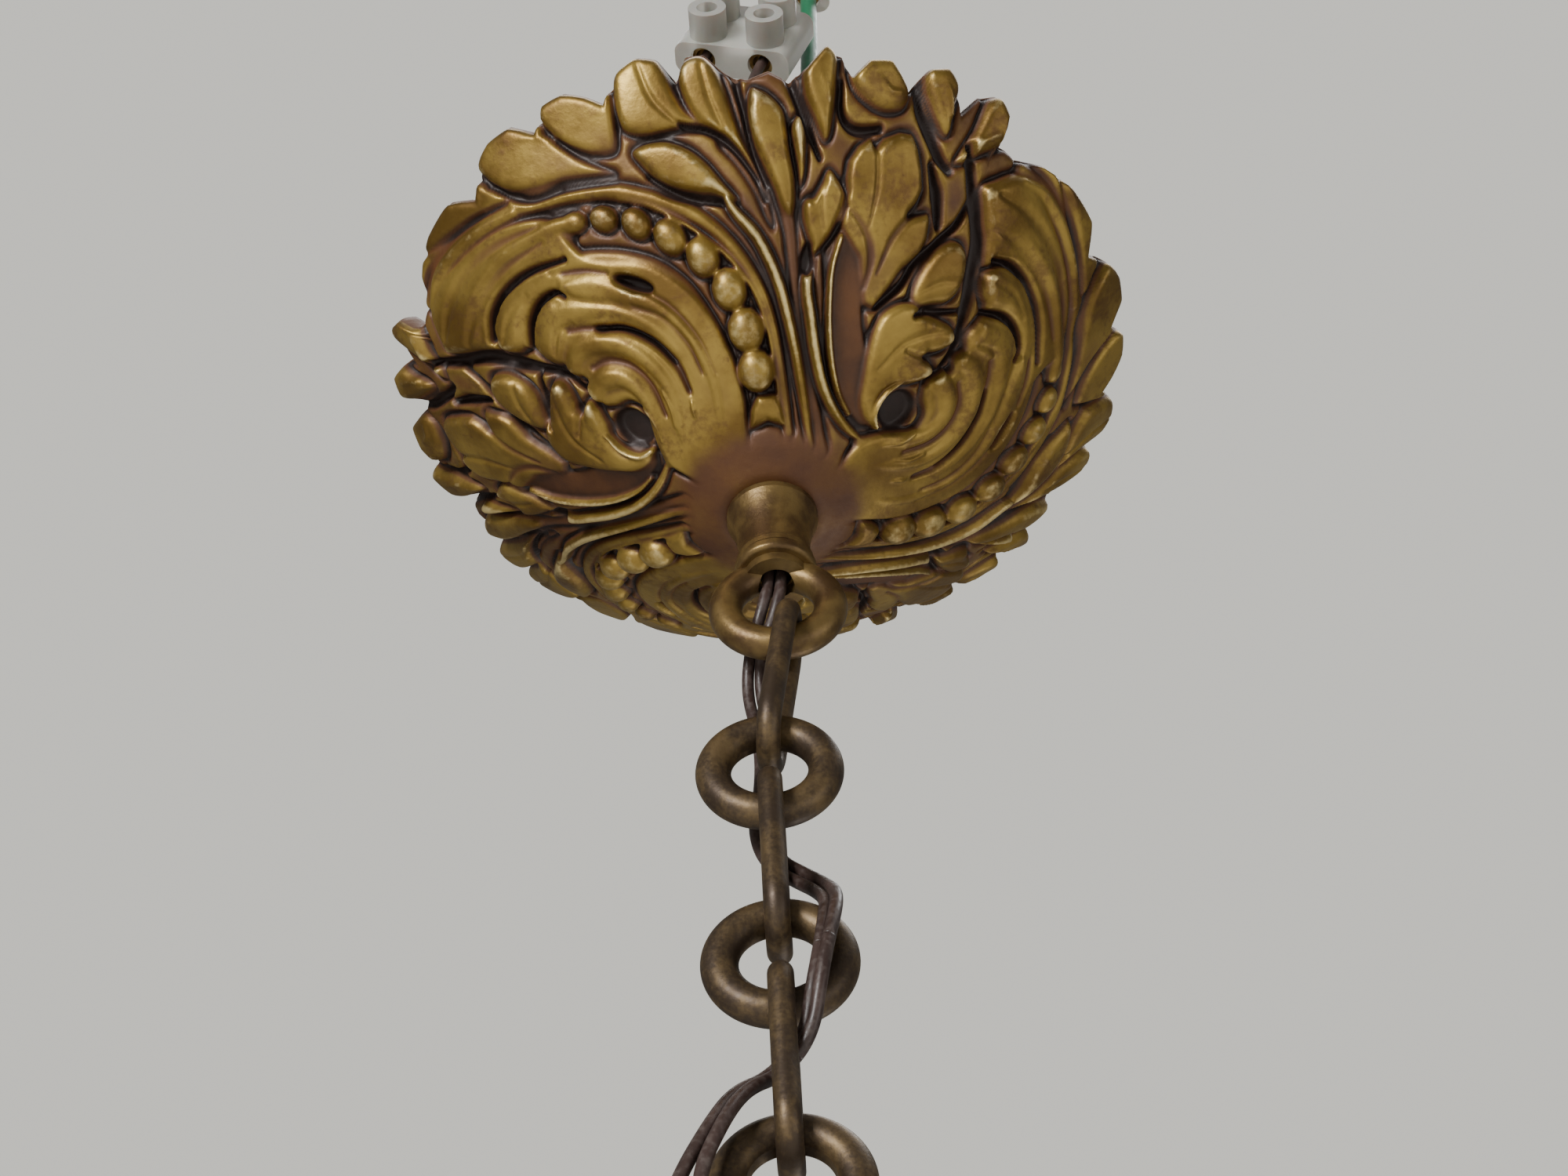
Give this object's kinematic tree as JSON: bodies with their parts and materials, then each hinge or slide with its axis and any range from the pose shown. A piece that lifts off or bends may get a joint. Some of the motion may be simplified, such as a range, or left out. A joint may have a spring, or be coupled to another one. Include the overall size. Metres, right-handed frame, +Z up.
{
  "type": "ceiling canopy with suspension chain",
  "caption": "Cast gilt-bronze ceiling canopy of a chandelier with leaf scrolls, a spool neck and loop, a hanging chain of round and long links, and two flex cores woven through it.",
  "frame": {"origin": "centre of the hanging eye's hole, just above the canopy's rim", "axes": "+Z up to the ceiling, -Y towards the side seen in the picture, chain hangs along -Z"},
  "size_m": [0.1434, 0.1434, 0.3422],
  "materials": {
    "gilt_bronze": "worn gilt over red-brown lacquer in the hollows",
    "brown_bronze": "dark brown patina, rubbed",
    "plain_brass": "dull machined brass",
    "flex_cover": "brown insulation",
    "earth_cover": "green insulation",
    "block_plastic": "milky soft plastic"
  },
  "bodies": {
    "hanger": {"canopy": "gilt_bronze", "neck_collar": "brown_bronze", "suspension_loop": "brown_bronze", "hanging_eye": "plain_brass", "stem_tube": "plain_brass", "clamp_washer": "plain_brass", "clamp_nut": "plain_brass", "earth_screw": "plain_brass", "earth_lug": "plain_brass", "flex_a_top": "flex_cover", "flex_a_neck": "flex_cover", "flex_b_top": "flex_cover", "flex_b_neck": "flex_cover", "earth_wire": "earth_cover", "terminal_block_body": "block_plastic", "terminal_block_tubes": "plain_brass", "terminal_block_screws": "plain_brass", "earth_connector_body": "block_plastic", "earth_connector_tubes": "plain_brass", "earth_connector_screws": "plain_brass"},
    "link_1": {"link_1": "brown_bronze", "flex_a_link_1": "flex_cover", "flex_b_link_1": "flex_cover"},
    "ring_2": {"ring_2": "brown_bronze", "flex_a_ring_2": "flex_cover", "flex_b_ring_2": "flex_cover"},
    "link_2": {"link_2": "brown_bronze", "flex_a_link_2": "flex_cover", "flex_b_link_2": "flex_cover"},
    "ring_3": {"ring_3": "brown_bronze", "flex_a_ring_3": "flex_cover", "flex_b_ring_3": "flex_cover"},
    "link_3": {"link_3": "brown_bronze", "flex_a_link_3": "flex_cover", "flex_b_link_3": "flex_cover", "flex_a_tail": "flex_cover", "flex_b_tail": "flex_cover", "flex_connector_body": "block_plastic", "flex_connector_tubes": "plain_brass", "flex_connector_screws": "plain_brass"},
    "ring_4": {"ring_4": "brown_bronze"}
  },
  "joints": [
    {"name": "link_1_swing", "type": "hinge", "parent": "hanger", "child": "link_1", "pos_m": [0.00446, 0, -0.09793], "axis": [1, 0, 0], "range_deg": [-30, 30], "deforming": ["flex_a_link_1", "flex_b_link_1"]},
    {"name": "ring_2_swing", "type": "hinge", "parent": "link_1", "child": "ring_2", "pos_m": [-0.003, 0, -0.12601], "axis": [0, 1, 0], "range_deg": [-30, 30], "deforming": ["flex_a_ring_2", "flex_b_ring_2"]},
    {"name": "link_2_swing", "type": "hinge", "parent": "ring_2", "child": "link_2", "pos_m": [-0.003, 0, -0.13919], "axis": [1, 0, 0], "range_deg": [-30, 30], "deforming": ["flex_a_link_2", "flex_b_link_2"]},
    {"name": "ring_3_swing", "type": "hinge", "parent": "link_2", "child": "ring_3", "pos_m": [-0.003, 0, -0.16701], "axis": [0, 1, 0], "range_deg": [-30, 30], "deforming": ["flex_a_ring_3", "flex_b_ring_3"]},
    {"name": "link_3_swing", "type": "hinge", "parent": "ring_3", "child": "link_3", "pos_m": [-0.003, 0, -0.18019], "axis": [1, 0, 0], "range_deg": [-30, 30], "deforming": ["flex_a_link_3", "flex_b_link_3", "flex_a_tail", "flex_b_tail"]},
    {"name": "ring_4_swing", "type": "hinge", "parent": "link_3", "child": "ring_4", "pos_m": [-0.003, 0, -0.20801], "axis": [0, 1, 0], "range_deg": [-30, 30]}
  ]
}
